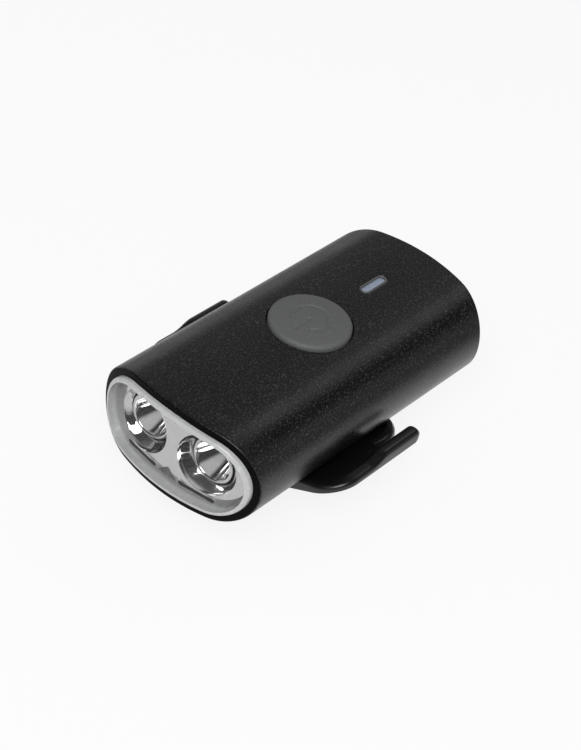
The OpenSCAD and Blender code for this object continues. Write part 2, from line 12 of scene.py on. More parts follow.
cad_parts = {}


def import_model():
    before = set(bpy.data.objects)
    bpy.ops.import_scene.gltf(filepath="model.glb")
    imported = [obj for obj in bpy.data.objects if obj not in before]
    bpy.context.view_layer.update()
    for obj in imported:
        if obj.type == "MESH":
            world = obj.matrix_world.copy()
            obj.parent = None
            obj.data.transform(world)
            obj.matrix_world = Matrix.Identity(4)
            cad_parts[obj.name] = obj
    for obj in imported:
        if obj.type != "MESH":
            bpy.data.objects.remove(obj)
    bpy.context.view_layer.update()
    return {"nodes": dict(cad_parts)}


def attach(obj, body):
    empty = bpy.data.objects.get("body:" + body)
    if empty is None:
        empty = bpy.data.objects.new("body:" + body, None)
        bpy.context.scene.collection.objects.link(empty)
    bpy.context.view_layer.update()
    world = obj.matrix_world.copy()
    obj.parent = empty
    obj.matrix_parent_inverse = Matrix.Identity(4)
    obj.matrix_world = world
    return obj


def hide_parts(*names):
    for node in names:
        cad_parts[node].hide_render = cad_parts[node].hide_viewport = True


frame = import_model()

# Sizes of the body, in millimetres
BODY_Z = 23.3
HALF_W = 22.0
HALF_H = 12.0
SIDE_R = 11.5
SIDE_A = HALF_W - SIDE_R
CROWN_R = (SIDE_A ** 2 + HALF_H ** 2 - SIDE_R ** 2) / (2 * (HALF_H - SIDE_R))
CROWN_ANGLE = np.arctan2(SIDE_A, CROWN_R - HALF_H)
TOP_LEN = CROWN_R * CROWN_ANGLE
QUARTER = TOP_LEN + SIDE_R * (np.pi / 2 - CROWN_ANGLE)
ROUND_LEN = 4 * QUARTER
HALF_L = 42.0
BOW_R = 57.0
WALL = 1.8

# Sizes of the pieces on it
LENS_INSET = 1.9
LENS_PROUD = 1.0
BUTTON_Y = 0.8
BUTTON_R = 9.3
BUTTON_HOLE_R = 9.6
WINDOW_Y = 22.9
WINDOW_L = 8.5
WINDOW_W = 2.9
WINDOW_GAP = 0.1

# Points nearer than this are joined, and shorter edges are dropped, in metres
JOIN_DIST = 2e-6
LEAST_EDGE = 1e-7


def to_row(points):
    """Body-centred millimetres to row-frame metres: lift by the body's height, divide by 1000."""
    p = np.asarray(points, float).copy()
    p[..., 2] += BODY_Z
    return p / 1000.0


def smooth(t):
    """Ease from 0 to 1: three t squared minus two t cubed, held at both ends."""
    t = np.clip(t, 0.0, 1.0)
    return t * t * (3.0 - 2.0 * t)


def oval(s, inset):
    """Body section at arc length s from the top centre, drawn inward by inset.

    Four arcs that meet without a corner: a flat arc over the top and one below, a round arc at
    each side. One quarter is worked out and mirrored.
    """
    s = np.mod(np.asarray(s, float), ROUND_LEN)
    k = np.floor(s / QUARTER).astype(int)
    q = np.where(k % 2 == 0, s - k * QUARTER, (k + 1) * QUARTER - s)
    a = q / CROWN_R
    b = CROWN_ANGLE + (q - TOP_LEN) / SIDE_R
    top = q < TOP_LEN
    x = np.where(top, (CROWN_R - inset) * np.sin(a), SIDE_A + (SIDE_R - inset) * np.sin(b))
    z = np.where(top, HALF_H - CROWN_R + (CROWN_R - inset) * np.cos(a), (SIDE_R - inset) * np.cos(b))
    sx = np.where(k < 2, 1.0, -1.0)
    sz = np.where((k == 0) | (k == 3), 1.0, -1.0)
    return sx * x, sz * z


def front_y(x, inset=0.0):
    """Bowed front end: a circle of the bow radius less inset round the same upright line."""
    return -HALF_L + BOW_R - np.sqrt((BOW_R - inset) ** 2 - np.square(x))


def rear_y(x, inset=0.0):
    """Bowed rear end, the front's mirror."""
    return -front_y(x, inset)


def stack(x, y, z):
    """Three arrays, spread to one shape, as points."""
    return np.stack(np.broadcast_arrays(x, y, z), -1)


def quads(n, m, wrap):
    """Corner numbers of the faces of an n by m grid; wrap joins the last row to the first."""
    i = np.arange(n if wrap else n - 1)[:, None]
    j = np.arange(m - 1)[None, :]
    k = (i + 1) % n
    corners = np.broadcast_arrays(i * m + j, k * m + j, k * m + j + 1, i * m + j + 1)
    return np.stack(corners, -1).reshape(-1, 4)


def surface(name, grids, material, sharp=35.0, body="light", replaces=()):
    """One piece from grids of points, each (points, wraps round): joined at shared points,
    faces turned outwards, smooth but for edges sharper than the given angle."""
    verts, faces, start = [], [], 0
    for points, wrap in grids:
        n, m = points.shape[:2]
        verts.append(to_row(points).reshape(-1, 3))
        faces.append(quads(n, m, wrap) + start)
        start += n * m
    v = np.concatenate(verts).astype(np.float32)
    f = np.concatenate(faces).astype(np.int32)
    mesh = bpy.data.meshes.new(name)
    mesh.vertices.add(len(v))
    mesh.vertices.foreach_set("co", v.ravel())
    mesh.loops.add(f.size)
    mesh.loops.foreach_set("vertex_index", f.ravel())
    mesh.polygons.add(len(f))
    mesh.polygons.foreach_set("loop_start", np.arange(0, f.size, 4, dtype=np.int32))
    mesh.update(calc_edges=True)
    bm = bmesh.new()
    bm.from_mesh(mesh)
    bmesh.ops.remove_doubles(bm, verts=bm.verts, dist=JOIN_DIST)
    bmesh.ops.dissolve_degenerate(bm, edges=bm.edges, dist=LEAST_EDGE)
    bmesh.ops.recalc_face_normals(bm, faces=bm.faces)
    bm.to_mesh(mesh)
    bm.free()
    mesh.polygons.foreach_set("use_smooth", np.ones(len(mesh.polygons), bool))
    mesh.set_sharp_from_angle(angle=np.radians(sharp))
    mesh.materials.append(material)
    obj = bpy.data.objects.new(name, mesh)
    bpy.context.scene.collection.objects.link(obj)
    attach(obj, body)
    if replaces:
        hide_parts(*replaces)
    return obj


# Materials
def node_tools(tree):
    """Short ways to add nodes and join them in one tree."""
    def add(kind, **values):
        node = tree.nodes.new(kind)
        for key, value in values.items():
            setattr(node, key, value)
        return node

    def join(a, b):
        tree.links.new(a, b)
    return add, join


def preset(node, **values):
    """Set a node's input sockets by name, with underscores for the spaces."""
    for key, value in values.items():
        node.inputs[key.replace("_", " ")].default_value = value
    return node


def fine_grain_group():
    """Shared grain: speckle of a given size as a mask and as a height, and a coarser cloud."""
    group = bpy.data.node_groups.new("fine_grain", "ShaderNodeTree")
    for way, names in (("INPUT", ("Scale", "Coarse Scale")), ("OUTPUT", ("Mask", "Height", "Cloud"))):
        for name in names:
            group.interface.new_socket(name, in_out=way, socket_type="NodeSocketFloat")
    add, join = node_tools(group)
    inp = add("NodeGroupInput")
    out = add("NodeGroupOutput")
    coord = add("ShaderNodeTexCoord")
    fine = preset(add("ShaderNodeTexNoise"), Detail=3.0, Roughness=0.65)
    coarse = preset(add("ShaderNodeTexNoise"), Detail=2.0)
    ramp = add("ShaderNodeMapRange", interpolation_type="SMOOTHSTEP")
    preset(ramp, From_Min=0.5, From_Max=0.7)
    join(coord.outputs["Object"], fine.inputs["Vector"])
    join(coord.outputs["Object"], coarse.inputs["Vector"])
    join(inp.outputs["Scale"], fine.inputs["Scale"])
    join(inp.outputs["Coarse Scale"], coarse.inputs["Scale"])
    join(fine.outputs["Fac"], ramp.inputs["Value"])
    join(ramp.outputs["Result"], out.inputs["Mask"])
    join(fine.outputs["Fac"], out.inputs["Height"])
    join(coarse.outputs["Fac"], out.inputs["Cloud"])
    return group


GRAIN = fine_grain_group()
CLOUD_SCALE = 60.0
ROUGH_SWAY = 0.05


def grained(name, low, high, rough, scale, bump=0.2, depth=2e-5, metallic=0.0, **sockets):
    """A finish whose colour goes from low to high over the speckle, with clouded roughness
    around rough and a fine bump; other Principled sockets are plain numbers."""
    mat = bpy.data.materials.new(name)
    mat.use_nodes = True
    add, join = node_tools(mat.node_tree)
    bsdf = preset(mat.node_tree.nodes["Principled BSDF"], Metallic=metallic, **sockets)
    grain = preset(add("ShaderNodeGroup", node_tree=GRAIN), Scale=scale, Coarse_Scale=CLOUD_SCALE)
    mix = preset(add("ShaderNodeMix", data_type="RGBA"), A=(*low, 1.0), B=(*high, 1.0))
    join(grain.outputs["Mask"], mix.inputs["Factor"])
    join(mix.outputs["Result"], bsdf.inputs["Base Color"])
    cloud = preset(add("ShaderNodeMapRange"), From_Min=0.3, From_Max=0.7,
                   To_Min=rough - ROUGH_SWAY, To_Max=rough + ROUGH_SWAY)
    join(grain.outputs["Cloud"], cloud.inputs["Value"])
    join(cloud.outputs["Result"], bsdf.inputs["Roughness"])
    raised = preset(add("ShaderNodeBump"), Strength=bump, Distance=depth)
    join(grain.outputs["Height"], raised.inputs["Height"])
    join(raised.outputs["Normal"], bsdf.inputs["Normal"])
    return mat


def grey(v, tint=0.0):
    """A near-neutral colour, a little to the blue by tint."""
    return (v, v * (1 + tint / 2), v * (1 + tint))


ANODISED = grained("anodised_black", grey(0.0015), grey(0.04, 0.05), 0.34, 2300.0, bump=0.8, depth=5e-5)
BEZEL_BLACK = grained("bezel_black", grey(0.001), grey(0.002), 0.5, 2600.0, bump=0.1,
                      Specular_IOR_Level=0.06)
BRACKET_BLACK = grained("bracket_black", grey(0.004), grey(0.009), 0.32, 2600.0, bump=0.2)
CAP_BLACK = grained("cap_black", grey(0.006), grey(0.014), 0.4, 2600.0, bump=0.2)
BUTTON_RUBBER = grained("button_rubber", grey(0.098, 0.03), grey(0.118, 0.03), 0.62, 2400.0, bump=0.1)
COVER_RUBBER = grained("cover_rubber", grey(0.03), grey(0.045), 0.7, 2400.0, bump=0.12)
PAD_RUBBER = grained("pad_rubber", grey(0.02), grey(0.032), 0.75, 1800.0, bump=0.15)
CHROME = grained("chrome", grey(0.80), grey(0.86), 0.08, 900.0, bump=0.01, metallic=1.0)
# Painted shade and painted reflection: dark fill for the reflector's slot openings, and dark ribs on
# what is chrome.
SLOT_RIB_PAINTED_SHADE = grained("slot_rib_painted_shade", grey(0.03), grey(0.06), 0.35, 1500.0, bump=0.05)
WHITE_BOARD = grained("white_board", grey(0.7), grey(0.76), 0.45, 1500.0, bump=0.05)
EMITTER = grained("emitter", (0.5, 0.47, 0.32), (0.58, 0.55, 0.4), 0.4, 3000.0, bump=0.05)
STEEL = grained("steel", grey(0.5), grey(0.6), 0.3, 1500.0, bump=0.04, metallic=1.0)
ALUMINIUM = grained("aluminium", grey(0.55), grey(0.66), 0.4, 1800.0, bump=0.06, metallic=1.0)
INNER_PLASTIC = grained("inner_plastic", grey(0.02), grey(0.035), 0.55, 1500.0, bump=0.1)
LEAD_RED = grained("lead_red", (0.35, 0.02, 0.02), (0.45, 0.03, 0.03), 0.5, 1500.0, bump=0.05)
CELL_FOIL = grained("cell_foil", (0.22, 0.28, 0.36), (0.28, 0.34, 0.42), 0.4, 500.0, bump=0.1)
FOAM = grained("foam", grey(0.03), grey(0.07), 0.9, 1500.0, bump=0.4)
TAB_NICKEL = grained("tab_nickel", grey(0.55), grey(0.65), 0.35, 1200.0, bump=0.05, metallic=1.0)
BOARD_GREEN = grained("board_green", (0.015, 0.1, 0.04), (0.025, 0.15, 0.06), 0.4, 900.0, bump=0.05)
CHIP_BLACK = grained("chip_black", grey(0.012), grey(0.022), 0.55, 3000.0, bump=0.1)
PLUNGER = grained("plunger", (0.55, 0.52, 0.46), (0.62, 0.6, 0.53), 0.5, 1500.0, bump=0.05)
WINDOW_MILK = grained("window_milk", (0.27, 0.31, 0.4), (0.33, 0.38, 0.48), 0.35, 1500.0, bump=0.03)
WINDOW_RIM = grained("window_rim", grey(0.085), grey(0.12), 0.45, 2600.0, bump=0.1)
SEAL_RUBBER = grained("seal_rubber", grey(0.02), grey(0.035), 0.7, 1500.0, bump=0.1)
LENS_CLEAR = grained("lens_clear", grey(0.03), grey(0.05), 0.06, 300.0, bump=0.0, Alpha=0.13, IOR=1.49)
SKIRT_MILK = grained("skirt_milk", grey(0.46, 0.015), grey(0.54, 0.015), 0.25, 900.0, bump=0.03)
# Painted reflection: a dark dielectric in the chrome reflector's grooves, standing in for the dark
# crescents they reflect.
GROOVE_PAINTED_SHADE = grained("groove_painted_shade", grey(0.01), grey(0.03), 0.25, 900.0, bump=0.03)
# Painted reflection: a grey dielectric for the reflected tone on the chrome plate between the bowls.
FACET_PAINTED_REFLECTION = grained("facet_painted_reflection", grey(0.16), grey(0.2), 0.25, 900.0, bump=0.03)
DOME_CLEAR = grained("dome_clear", grey(0.95), grey(1.0), 0.08, 300.0, bump=0.0,
                     Transmission_Weight=1.0, IOR=1.41)

NODE_FINISH = {
    "body_shell": ANODISED, "front_lens": LENS_CLEAR, "lens_seal": SEAL_RUBBER, "reflector": CHROME,
    "led_board": WHITE_BOARD, "led_packages": EMITTER, "led_domes": DOME_CLEAR,
    "led_board_screws": STEEL, "heat_spreader": ALUMINIUM, "spreader_screws": STEEL,
    "led_leads": LEAD_RED, "chassis": INNER_PLASTIC, "battery_cell": CELL_FOIL, "cell_pad": FOAM,
    "cell_tabs": TAB_NICKEL, "control_board": BOARD_GREEN, "board_screws": STEEL,
    "driver_chip": CHIP_BLACK, "inductor": CHIP_BLACK, "switch_body": INNER_PLASTIC,
    "switch_plunger": PLUNGER, "indicator_led": EMITTER, "indicator_window": WINDOW_MILK,
    "button_cap": BUTTON_RUBBER, "button_retainer": INNER_PLASTIC, "usb_shell": STEEL,
    "usb_tongue": INNER_PLASTIC, "rear_cap": CAP_BLACK, "rear_seal": SEAL_RUBBER,
    "rear_screws": STEEL, "cover_root": COVER_RUBBER, "port_cover": COVER_RUBBER,
    "mount_bracket": BRACKET_BLACK, "saddle_pad": PAD_RUBBER, "bracket_screws": STEEL,
}
for node_name, finish in NODE_FINISH.items():
    slots = frame["nodes"][node_name].data.materials
    slots.clear()
    slots.append(finish)


# Body tube
HOLE_ZONE = 12.0
ZONE_FRONT = BUTTON_Y - HOLE_ZONE
ZONE_MID = BUTTON_Y + HOLE_ZONE
ZONE_REAR = 33.0
EDGE = 0.3
INNER_EDGE = 0.15
HOLE_EDGE = 0.18
MIDDLE_PULL = 0.6
RIM_FACING = -0.85
RIM_BEFORE = -0.03


def tube_point(s, y, inset):
    """A point of the tube at arc length s, length y and depth inset below the outer face."""
    x, z = oval(s, inset)
    return stack(x, y, z)


def end_rows(s, end):
    """Rounded rim of one end: outer round, flat face, inner round, as (inset, way in) steps."""
    a = np.radians(np.linspace(0, 90, 6))
    inset = np.concatenate([EDGE * (1 - np.cos(a)), WALL - INNER_EDGE * (1 - np.sin(a))])
    way = np.concatenate([EDGE * (1 - np.sin(a)), INNER_EDGE * (1 - np.cos(a))])
    x, z = oval(s[:, None], inset[None, :])
    y = front_y(x) + way if end < 0 else rear_y(x) - way
    return stack(x, y, z)


def end_zone(s, end, inset, edge, n):
    """Wall from one bowed rim to the straight line where the holes begin."""
    x, z = oval(s, inset)
    y_rim = (front_y(x) + edge) if end < 0 else (rear_y(x) - edge)
    y_line = ZONE_FRONT if end < 0 else ZONE_REAR
    w = np.linspace(0, 1, n)
    y = y_rim[:, None] * (1 - w) + y_line * w
    return stack(x[:, None], y, z[:, None])


def box_line(s_half, y0, y1, ns, ny):
    """Points round a rectangle of the tube's top, as arc length and y, closed and in order."""
    s = np.linspace(-s_half, s_half, ns)
    y = np.linspace(y0, y1, ny)
    return (np.concatenate([s[:-1], np.full(ny - 1, s_half), s[:0:-1], np.full(ny - 1, -s_half)]),
            np.concatenate([np.full(ns - 1, y0), y[:-1], np.full(ns - 1, y1), y[:0:-1]]))


def hole_ring(bs, by, yc, straight, radius):
    """Tube top from a rectangle to a round-ended hole, over its edge, down and back underneath.

    Each point of the rectangle is drawn towards the nearest point of the hole, which is a circle
    moved along a short middle line.
    """
    my = np.clip((by - yc) * MIDDLE_PULL, -straight, straight) + yc
    ds, dy = bs, by - my
    d = np.hypot(ds, dy)
    hs, hy = radius * ds / d, my + radius * dy / d
    share = np.array([1, 0.8, 0.6, 0.42, 0.28, 0.16, 0.08])
    a = np.radians(np.linspace(0, 90, 5))
    off = np.concatenate([HOLE_EDGE * (1 - np.sin(a)), [0.0]])
    depth = np.concatenate([HOLE_EDGE * (1 - np.cos(a)), [WALL]])
    wide = share[None] * (d - radius)[:, None]
    reach = np.concatenate([wide, np.broadcast_to(off, (len(d), len(off))), wide[:, ::-1]], 1)
    deep = np.concatenate([np.zeros(len(share)), depth, np.full(len(share), WALL)])
    us, uy = ds / d, dy / d
    return tube_point(hs[:, None] + us[:, None] * reach, hy[:, None] + uy[:, None] * reach, deep[None])


def blacken_front(mesh):
    """Deep black on the front rim: the faces at the front that look along the beam."""
    n = len(mesh.polygons)
    normal, centre = np.empty(3 * n), np.empty(3 * n)
    mesh.polygons.foreach_get("normal", normal)
    mesh.polygons.foreach_get("center", centre)
    normal, centre = normal.reshape(-1, 3), centre.reshape(-1, 3)
    faces_front = (normal[:, 1] < RIM_FACING) & (centre[:, 1] < RIM_BEFORE)
    mesh.materials.append(BEZEL_BLACK)
    mesh.polygons.foreach_set("material_index", faces_front.astype(np.int32))


def tube():
    """Oval tube with a button hole and an indicator slot, closed all round.

    The outer and inner walls run between the bowed ends; over the holes they are rings.
    """
    top = np.linspace(-HOLE_ZONE, HOLE_ZONE, 33)
    rest = np.linspace(HOLE_ZONE, ROUND_LEN - HOLE_ZONE, 121)
    s = np.concatenate([top, rest[1:-1]])
    y = np.concatenate([np.linspace(ZONE_FRONT, ZONE_MID, 33), np.linspace(ZONE_MID, ZONE_REAR, 27)[1:]])
    grids = [(end_rows(s, -1), True), (end_rows(s, 1), True)]
    for inset, edge in ((0.0, EDGE), (WALL, INNER_EDGE)):
        grids += [(end_zone(s, -1, inset, edge, 24), True), (end_zone(s, 1, inset, edge, 12), True)]
        grids.append((tube_point(rest[:, None], y[None], inset), False))
    bs, by = box_line(HOLE_ZONE, ZONE_FRONT, ZONE_MID, 33, 33)
    grids.append((hole_ring(bs, by, BUTTON_Y, 0.0, BUTTON_HOLE_R), True))
    bs, by = box_line(HOLE_ZONE, ZONE_MID, ZONE_REAR, 33, 27)
    straight = (WINDOW_L - WINDOW_W) / 2
    grids.append((hole_ring(bs, by, WINDOW_Y, straight, WINDOW_W / 2 + WINDOW_GAP), True))
    obj = surface("tube", grids, ANODISED, replaces=["body_shell"])
    blacken_front(obj.data)
    return obj


tube()


# Front lens
BORDER_W = 0.95
BORDER_ROUND = 0.6
SKIRT_BACK = -36.38
LENS_T = 2.0
LENS_TUCK = 0.4 * BORDER_W
LENS_SUNK = 0.04
AROUND = np.linspace(0, ROUND_LEN, 160, endpoint=False)


def oval_rows(rows):
    """A profile carried round the oval: each row is (inset, share of the way out from the middle,
    bow inset or None, way back), with y on the bowed front of that bow inset plus the way back,
    or at the way back alone."""
    out = []
    for inset, share, bow, way in rows:
        x, z = oval(AROUND, inset)
        x, z = x * share, z * share
        y = np.full_like(x, way) if bow is None else front_y(x, bow) + way
        out.append(stack(x, y, z))
    return np.stack(out, 1)


def lens():
    """Clear window: bowed outer face, side, and bowed inner face; closed."""
    shares = np.sqrt(np.linspace(0, 1, 14))
    edge = LENS_INSET + LENS_TUCK
    rows = [(edge, t, -LENS_PROUD, LENS_SUNK) for t in shares]
    rows += [(edge, t, LENS_T - LENS_PROUD, 0.0) for t in shares[::-1]]
    return surface("lens", [(oval_rows(rows), True)], LENS_CLEAR, replaces=["front_lens"])


def lens_skirt():
    """Milky border and skirt of the window: a band round the oval with a rounded front edge,
    closed on itself."""
    a = np.radians(np.linspace(0, 90, 7))
    r = BORDER_ROUND
    inn = LENS_INSET + BORDER_W
    rows = [(inn, 1.0, -LENS_PROUD, 0.0)]
    rows += [(LENS_INSET + r * (1 - np.sin(k)), 1.0, -LENS_PROUD, r * (1 - np.cos(k))) for k in a]
    rows += [(LENS_INSET, 1.0, None, SKIRT_BACK), (inn, 1.0, None, SKIRT_BACK), rows[0]]
    return surface("lens_skirt", [(oval_rows(rows), True)], SKIRT_MILK)


# Reflector, with depths that run back from its bowed plate
PLATE_INSET = 1.3
PLATE_GAP = 0.5
BOWL_X = 8.7
BOWL_Z = 0.6
MOUTH_R = 7.15
DISH_R = 5.75
DISH_START = 0.1
DISH_DROP = 2.6
DISH_POWER = 0.85
GROOVE_W = 0.45
GROOVE_D = 4.6
RING_D = 2.55
RING_FOOT = 4.2
CREST_H = 0.45
CUP_R = 4.45
CUP_DEPTH = 5.4
THROAT_R = 1.9
LIP_FADE = 2.4
SLOT_X = 7.7
SLOT_Z = -7.35
SLOT_L = 8.9
SLOT_H = 1.15
SLOT_RIM_L = 9.6
SLOT_RIM_H = 1.75
RIBS = 5
RIB_Z = 1.0
RIB_PITCH = 1.3
RIB_HALF = 0.42
RIB_R = 6.75
RIB_RAISE = 0.12
FACETS = ((7.9, 6.6, 2.4), (-7.9, -5.6, 2.6))
DOME_R = 1.55
DOME_BASE = 8.2


def plate_half(side):
    """Half of the bowed bright plate, from the mouth of one bowl out to the oval's edge and the
    middle line. Rays leave the bowl's centre, and each ends at the nearer of the two."""
    edge_x, edge_z = oval(np.linspace(0, 2 * QUARTER, 400), LENS_INSET + PLATE_GAP)
    edge = np.arctan2(edge_z - BOWL_Z, edge_x - BOWL_X)
    far = np.hypot(edge_z - BOWL_Z, edge_x - BOWL_X)
    order = np.argsort(edge)
    top = np.arctan2(edge_z.max() - BOWL_Z, -BOWL_X)
    low = np.arctan2(edge_z.min() - BOWL_Z, -BOWL_X)
    ang = np.unique(np.concatenate([np.linspace(-np.pi, np.pi, 181), [top, low]]))[1:]
    reach = np.interp(ang, edge[order], far[order], period=2 * np.pi)
    c = np.cos(ang)
    middle = np.where(c < -1e-6, -BOWL_X / np.minimum(c, -1e-6), 1e9)
    reach = np.minimum(reach, middle)
    t = np.linspace(0, 1, 9)
    rad = MOUTH_R + (reach[:, None] - MOUTH_R) * t
    x = BOWL_X + rad * c[:, None]
    z = BOWL_Z + rad * np.sin(ang)[:, None]
    return stack(side * x, front_y(x, PLATE_INSET), z)


def bowl_depth(r):
    """Depth of the outer dish below the plate at radius r: a shallow round-sided cone."""
    t = (MOUTH_R - r) / (MOUTH_R - DISH_R)
    return DISH_START + DISH_DROP * t ** DISH_POWER


def turned(side, r, d, n=120):
    """A profile of radius and depth turned round one bowl's axis; depth runs back from the plate."""
    a = np.linspace(0, 2 * np.pi, n, endpoint=False)[:, None]
    r, d = np.asarray(r, float)[None], np.asarray(d, float)[None]
    x = BOWL_X + r * np.cos(a)
    z = BOWL_Z + r * np.sin(a)
    lip = front_y(x, PLATE_INSET)
    flat = front_y(BOWL_X, PLATE_INSET)
    share = np.clip(1 - d / LIP_FADE, 0, 1)
    return stack(side * x, flat + (lip - flat) * share + d, z)


def bowls():
    """Each bowl: bright outer dish, a groove whose dark finish is painted reflected shade on the chrome,
    bright inner ring with a round crest, and a cup whose radius squared grows evenly towards the front."""
    dish_r = np.concatenate([[MOUTH_R, MOUTH_R - 0.05], np.linspace(MOUTH_R - 0.2, DISH_R, 10)])
    dish_d = np.concatenate([[0.0, 0.03], bowl_depth(dish_r[2:])])
    a = np.radians(np.linspace(0, 180, 11))
    crest = (DISH_R - GROOVE_W - CUP_R) / 2
    mid = CUP_R + crest
    t = np.linspace(0, 1, 16)[1:]
    cup_r = np.sqrt(CUP_R ** 2 + (THROAT_R ** 2 - CUP_R ** 2) * t)
    ring_r = np.concatenate([[mid + crest], mid + crest * np.cos(a), cup_r])
    ring_d = np.concatenate([[RING_FOOT], RING_D - CREST_H * np.sin(a), RING_D + CUP_DEPTH * t])
    chrome, dark = [], []
    for side in (-1, 1):
        chrome += [(turned(side, dish_r, dish_d), True), (turned(side, ring_r, ring_d), True),
                   (plate_half(side), True)]
        # Grooves in the dark finish: painted reflected shade on what is chrome all through.
        dark.append((turned(side, [DISH_R, DISH_R - 0.05, mid + crest + 0.02, mid + crest],
                            [DISH_START + DISH_DROP, GROOVE_D, GROOVE_D, RING_FOOT]), True))
    surface("reflector_face", chrome, CHROME, replaces=["reflector"])
    surface("reflector_groove_painted_shade", dark, GROOVE_PAINTED_SHADE)


def pill(x, z, length, height, lift, rise, n=48):
    """A round-ended bar on the plate, its rows going from the middle out: flat, then round the edge."""
    a = np.linspace(0, 2 * np.pi, n, endpoint=False)
    c = (length - height) / 2
    ox = np.where(np.cos(a) >= 0, c, -c)
    rows = []
    for share, up in ((0.0, rise), (0.8, rise), (1.0, 0.0)):
        px = x + ox * min(1.0, share + 0.1) * (share > 0) + share * height / 2 * np.cos(a)
        pz = z + share * height / 2 * np.sin(a)
        rows.append(stack(px, front_y(px, PLATE_INSET) - lift - up, pz))
    return np.stack(rows, 1)


def reflector_marks():
    """Slots below the bowls, ribs on the inner sides, and grey facets between the bowls. The slots are
    dark pills of painted shade where the openings are, and the dark ribs and grey facets are painted
    reflections on the chrome.
    """
    slots, rims = [], []
    for side in (-1, 1):
        rims.append((pill(side * SLOT_X, SLOT_Z, SLOT_RIM_L, SLOT_RIM_H, 0.02, 0.12), True))
        # A dark pill just in front of the plate: painted shade in the slot opening.
        slots.append((pill(side * SLOT_X, SLOT_Z, SLOT_L, SLOT_H, 0.16, 0.02), True))
        # Raised ribs in the same dark finish: painted dark reflections on the chrome.
        for k in range(RIBS):
            zc = RIB_Z - RIB_PITCH * k
            z = np.linspace(zc - RIB_HALF, zc + RIB_HALF, 5)[:, None]
            t = np.linspace(0, 1, 9)[None]
            x0 = BOWL_X - np.sqrt(RIB_R ** 2 - (z - BOWL_Z) ** 2)
            x1 = BOWL_X - np.sqrt((DISH_R + RIB_RAISE) ** 2 - (z - BOWL_Z) ** 2)
            x = x0 + (x1 - x0) * t
            r = np.hypot(x - BOWL_X, z - BOWL_Z)
            y = front_y(x, PLATE_INSET) + bowl_depth(r) - RIB_RAISE
            slots.append((stack(side * x, y, np.broadcast_to(z, x.shape)), False))
    facets = []
    # Grey triangles on the plate: painted reflected tone.
    for zt, zb, w in FACETS:
        t = np.linspace(0, 1, 6)[:, None]
        u = np.linspace(-1, 1, 7)[None]
        z = zt + (zb - zt) * t
        x = u * w * (1 - 0.95 * t)
        facets.append((stack(x, front_y(x, PLATE_INSET) - 0.05, np.broadcast_to(z, x.shape)), False))
    surface("reflector_slot_rims", rims, CHROME)
    surface("reflector_slots", slots, SLOT_RIB_PAINTED_SHADE)
    surface("reflector_facets", facets, FACET_PAINTED_REFLECTION)


def emitters():
    """A clear half-round dome at the bottom of each cup."""
    a = np.radians(np.linspace(0, 90, 12))
    r, d = DOME_R * np.cos(a), DOME_BASE - DOME_R * np.sin(a)
    domes = [(turned(side, r, d, 48), True) for side in (-1, 1)]
    surface("emitter_domes", domes, DOME_CLEAR, replaces=["led_domes"])


lens()
lens_skirt()
bowls()
reflector_marks()
emitters()


# Push button
FLANGE_R = 10.6
FLANGE_LOW = 8.8
FLANGE_TOP = 9.4
PILLOW = 1.0
CAP_TOP = HALF_H + 0.9
CAP_DOME = 0.5
TOP_ROWS = 89
MARK_R = 4.1
MARK_GAP = np.radians(42.0)
MARK_BAR = (-5.2, -0.6)
MARK_HALF = 0.32
MARK_EASE = 0.36
MARK_DEEP = 0.22


def symbol_depth(x, y):
    """0 to 1 inside the power mark: an arc of three quarters of a circle, open to the front, and a
    bar from its middle through the gap; the edges are eased."""
    r = np.hypot(x, y)
    ang = np.arctan2(x, -y)
    ring = np.abs(r - MARK_R)
    ex, ey = MARK_R * np.sin(MARK_GAP), -MARK_R * np.cos(MARK_GAP)
    tip = np.minimum(np.hypot(x - ex, y - ey), np.hypot(x + ex, y - ey))
    arc = np.where(np.abs(ang) > MARK_GAP, ring, tip)
    bar = np.hypot(x, y - np.clip(y, *MARK_BAR))
    d = np.minimum(arc, bar)
    return 1.0 - smooth((d - MARK_HALF) / MARK_EASE)


def button():
    """Round rubber cap turned about its axis: flange, side, pillow edge and low dome, with the mark
    sunk into the top."""
    a = np.linspace(0, 2 * np.pi, 256, endpoint=False)[:, None]
    e = np.radians(np.linspace(0, 90, 9))
    dome_r = BUTTON_R - PILLOW
    inner = np.linspace(dome_r, 0, TOP_ROWS + 1)[1:]
    r = np.concatenate([[0.0, FLANGE_R, FLANGE_R, BUTTON_R, BUTTON_R],
                        BUTTON_R - PILLOW * (1 - np.cos(e)), inner])[None]
    z = np.concatenate([[FLANGE_LOW, FLANGE_LOW, FLANGE_TOP, FLANGE_TOP, CAP_TOP - PILLOW],
                        CAP_TOP - PILLOW * (1 - np.sin(e)),
                        CAP_TOP + CAP_DOME * (1 - (inner / dome_r) ** 2)])[None]
    x, y = r * np.cos(a), r * np.sin(a)
    on_top = np.arange(r.shape[1]) >= r.shape[1] - TOP_ROWS
    z = z - MARK_DEEP * symbol_depth(x, y) * on_top
    return surface("button", [(stack(x, y + BUTTON_Y, z), True)], BUTTON_RUBBER, body="button",
                   replaces=["button_cap"])


# Indicator
def pill_rows(rows):
    """A profile carried round the indicator's outline: each row is (distance in from the slot, z)."""
    a = np.linspace(0, 2 * np.pi, 64, endpoint=False)
    c = (WINDOW_L - WINDOW_W) / 2
    oy = np.where(np.sin(a) >= 0, c, -c)
    out = []
    for way, z in rows:
        r = max(WINDOW_W / 2 - way, 0.0)
        out.append(stack(r * np.cos(a), WINDOW_Y + oy + r * np.sin(a), z))
    return np.stack(out, 1)


def indicator():
    """A grey rim flush with the tube round a pale window sunk below it."""
    top = HALF_H - 0.02
    rim = [(0.02, 9.0), (0.02, top - 0.1), (0.1, top), (0.42, top), (0.5, top - 0.08), (0.5, top - 0.6)]
    pane = [(0.49, top - 0.65), (0.49, top - 0.5), (0.6, top - 0.45), (1.45, top - 0.45)]
    surface("indicator_rim", [(pill_rows(rim), True)], WINDOW_RIM,
            replaces=["indicator_window"])
    surface("indicator_pane", [(pill_rows(pane), True)], WINDOW_MILK)


button()
indicator()


